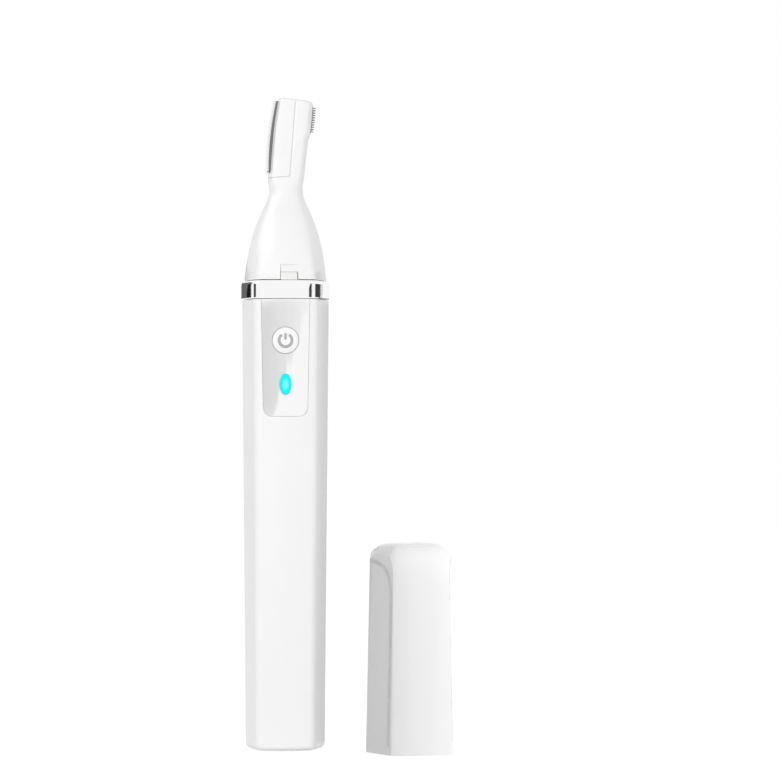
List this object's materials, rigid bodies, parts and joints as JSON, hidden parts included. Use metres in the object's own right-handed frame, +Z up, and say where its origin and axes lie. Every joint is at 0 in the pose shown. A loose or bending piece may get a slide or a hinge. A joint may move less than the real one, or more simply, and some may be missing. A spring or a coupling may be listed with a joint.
{
  "type": "electric hair trimmer",
  "caption": "Slim battery face and eyebrow trimmer: faceted handle with push button and light, pull-off leaning head with toothed blades on both edges, and a separate tall cap.",
  "frame": {"origin": "middle of the handle's flat base, on the handle's axis", "axes": "+Z up the handle to the cutting head, -Y towards the front with the button, +X to the side where the cap stands"},
  "size_m": [0.0445, 0.0268, 0.1357],
  "materials": {
    "white_gloss": "polished white moulding",
    "panel_gloss": "polished pale grey inlay",
    "button_white": "satin-polished button cap",
    "cap_white": "polished white thin-walled cap",
    "ring_chrome": "mirror-bright plated ring",
    "blade_steel": "ground cutting steel",
    "steel_part": "drawn steel",
    "light_cyan": "clear light pipe, lit cyan",
    "inner_white": "as-moulded inner plastic",
    "low_friction": "natural acetal",
    "black_plastic": "black moulding",
    "board_green": "glass-fibre board with green mask",
    "cell_wrap": "blue shrink wrap over the can",
    "lamp": "yellow phosphor lamp",
    "brass_part": "stamped brass",
    "seal_rubber": "black moulded rubber"
  },
  "bodies": {
    "handle": {"handle_sleeve": "white_gloss", "front_panel": "panel_gloss", "chrome_ring": "ring_chrome", "inner_chassis": "inner_white", "led_lens": "light_cyan", "led_chip": "lamp", "switch_body": "steel_part", "circuit_board": "board_green", "charge_chip": "black_plastic", "control_chip": "black_plastic", "guard_chip": "black_plastic", "board_capacitor_left": "brass_part", "board_capacitor_right": "brass_part", "board_screw_lower": "steel_part", "board_screw_upper": "steel_part", "usb_shell": "steel_part", "usb_tongue": "black_plastic", "battery_cell": "cell_wrap", "battery_tab_bottom": "steel_part", "battery_tab_top": "steel_part", "motor_can": "steel_part", "motor_end_cap": "inner_white", "motor_terminal_left": "brass_part", "motor_terminal_right": "brass_part", "motor_pad": "seal_rubber", "shaft_seal": "seal_rubber"},
    "button": {"power_button": "button_white", "switch_plunger": "black_plastic"},
    "rotor": {"motor_shaft": "steel_part", "drive_eccentric": "low_friction"},
    "head": {"head_shell": "white_gloss", "head_base": "inner_white", "head_seal": "seal_rubber", "rocker_pin": "steel_part", "blade_cassette": "white_gloss", "long_comb": "blade_steel", "short_comb": "blade_steel"},
    "rocker": {"drive_rocker": "low_friction"},
    "blades": {"blade_carrier": "low_friction", "long_blade": "blade_steel", "short_blade": "blade_steel", "carrier_spring": "steel_part"},
    "cap": {"cap_shell": "cap_white"}
  },
  "joints": [
    {"name": "button_press", "type": "slide", "parent": "handle", "child": "button", "axis": [0, 1, 0], "range_m": [0, 0.00035], "stiffness_N_per_m": 2000, "springref_m": -0.0003},
    {"name": "motor_spin", "type": "hinge", "parent": "handle", "child": "rotor", "pos_m": [0, 0, 0.091], "axis": [0, 0, 1], "continuous": true},
    {"name": "head_pull", "type": "slide", "parent": "handle", "child": "head", "axis": [0, 0, 1], "range_m": [0, 0.03]},
    {"name": "rocker_swing", "type": "hinge", "parent": "head", "child": "rocker", "pos_m": [0.0026, 0, 0.1066], "axis": [0, 1, 0], "range_deg": [-5.38, 5.38]},
    {"name": "blade_slide", "type": "slide", "parent": "head", "child": "blades", "axis": [0.1045, 0, 0.9945], "range_m": [-0.000317, 0.000317]},
    {"name": "cap_lift", "type": "slide", "parent": "handle", "child": "cap", "axis": [0, 0, 1], "range_m": [0, 0.15]}
  ],
  "couplings": [
    {"joint": "rocker_swing", "follows": "blade_slide", "rad_per_m": 295.77}
  ]
}
